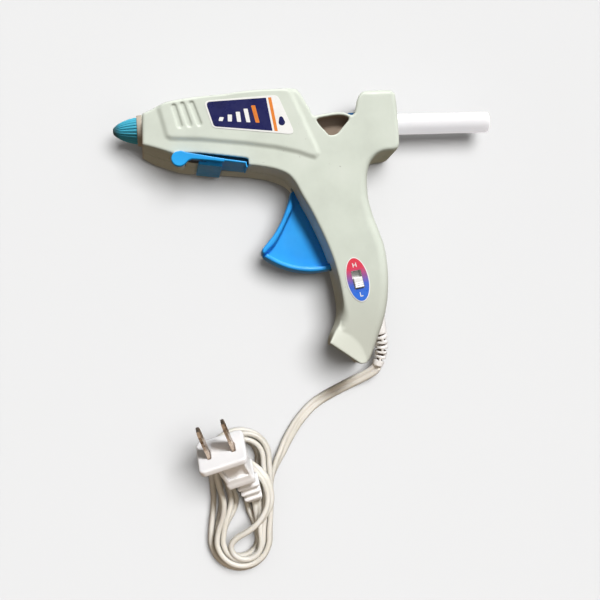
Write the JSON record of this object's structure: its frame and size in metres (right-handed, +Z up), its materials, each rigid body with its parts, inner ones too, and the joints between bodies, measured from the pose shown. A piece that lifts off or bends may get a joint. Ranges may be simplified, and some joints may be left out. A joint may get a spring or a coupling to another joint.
{
  "type": "hot glue gun",
  "caption": "Full-size hot glue gun with pull trigger, fold-down stand, heat slide switch, capped nozzle, a glue stick in its barrel and a flat two-core lead wound beside it.",
  "frame": {"origin": "middle of the gun's bounding box in plan, on the table it lies on (lead, hank and plug left out)", "axes": "+X back along the barrel from nozzle to glue stick, +Y from the grip's foot to the top of the barrel, +Z up from the table, out of the gun's left side"},
  "size_m": [0.205, 0.251, 0.0461],
  "materials": {
    "shell": "satin moulded",
    "blue_plastic": "satin moulded",
    "stand_plastic": "satin moulded",
    "cap_teal": "soft moulded",
    "white_plastic": "moulded",
    "black_plastic": "moulded",
    "silicone_red": "moulded",
    "hot_melt": "milky, waxy",
    "brass": "turned",
    "cast_aluminium": "die cast",
    "ceramic": "unglazed",
    "spring_steel": "plain",
    "screw_steel": "zinc plated",
    "plate_print": "printed",
    "label_print": "printed",
    "board": "laminate",
    "wire_black": "insulation",
    "cord_vinyl": "semi-gloss vinyl",
    "plug_vinyl": "moulded vinyl"
  },
  "bodies": {
    "gun": {"left_housing": "shell", "right_housing": "shell", "housing_screws": "screw_steel", "nose_ring": "shell", "nozzle_sleeve": "cap_teal", "nozzle_tip": "brass", "chamber_isolator": "silicone_red", "melt_chamber": "cast_aluminium", "heater_element": "ceramic", "heater_clip": "spring_steel", "inlet_sleeve": "silicone_red", "sleeve_clamp": "spring_steel", "rear_guide": "black_plastic", "trigger_pin": "screw_steel", "trigger_spring": "spring_steel", "stand_pin": "screw_steel", "switch_plate": "plate_print", "switch_body": "black_plastic", "switch_board": "board", "wire_harness": "wire_black", "label_plate": "label_print", "strain_relief": "white_plastic", "cord_clamp": "white_plastic", "cord_clamp_screws": "screw_steel", "cord_lead": "cord_vinyl", "cord_hank": "cord_vinyl", "plug_body": "plug_vinyl", "plug_blades": "brass"},
    "trigger": {"trigger": "blue_plastic"},
    "carriage": {"feed_carriage": "blue_plastic", "carriage_pin": "screw_steel", "jaw_pin": "screw_steel"},
    "jaw": {"grip_jaw": "spring_steel"},
    "stick": {"glue_stick": "hot_melt"},
    "stand": {"stand": "stand_plastic"},
    "heat_button": {"switch_button": "white_plastic"}
  },
  "joints": [
    {"name": "trigger_pull", "type": "hinge", "parent": "gun", "child": "trigger", "pos_m": [-0.0015, 0.0178, 0.017], "axis": [0, 0, 1], "range_deg": [0, 21], "stiffness_Nm_per_rad": 0.4, "springref_deg": -17.19},
    {"name": "carriage_feed", "type": "slide", "parent": "gun", "child": "carriage", "axis": [-1, 0, 0], "range_m": [0, 0.0106]},
    {"name": "jaw_bite", "type": "hinge", "parent": "carriage", "child": "jaw", "pos_m": [0.0155, 0.0486, 0.017], "axis": [0, 0, 1], "range_deg": [0, 8.5]},
    {"name": "stick_feed", "type": "slide", "parent": "gun", "child": "stick", "axis": [-1, 0, 0], "range_m": [0, 0.0106]},
    {"name": "stand_fold", "type": "hinge", "parent": "gun", "child": "stand", "pos_m": [-0.0695, 0.0362, 0.0325], "axis": [0, 0, -1], "range_deg": [0, 115]},
    {"name": "heat_select", "type": "slide", "parent": "gun", "child": "heat_button", "axis": [-0.1616, 0.9869, 0], "range_m": [0, 0.0033]}
  ],
  "couplings": [
    {"joint": "carriage_feed", "follows": "trigger_pull", "m_per_rad": 0.0285},
    {"joint": "stick_feed", "follows": "trigger_pull", "m_per_rad": 0.0285},
    {"joint": "jaw_bite", "follows": "trigger_pull", "ratio": 0.38}
  ]
}
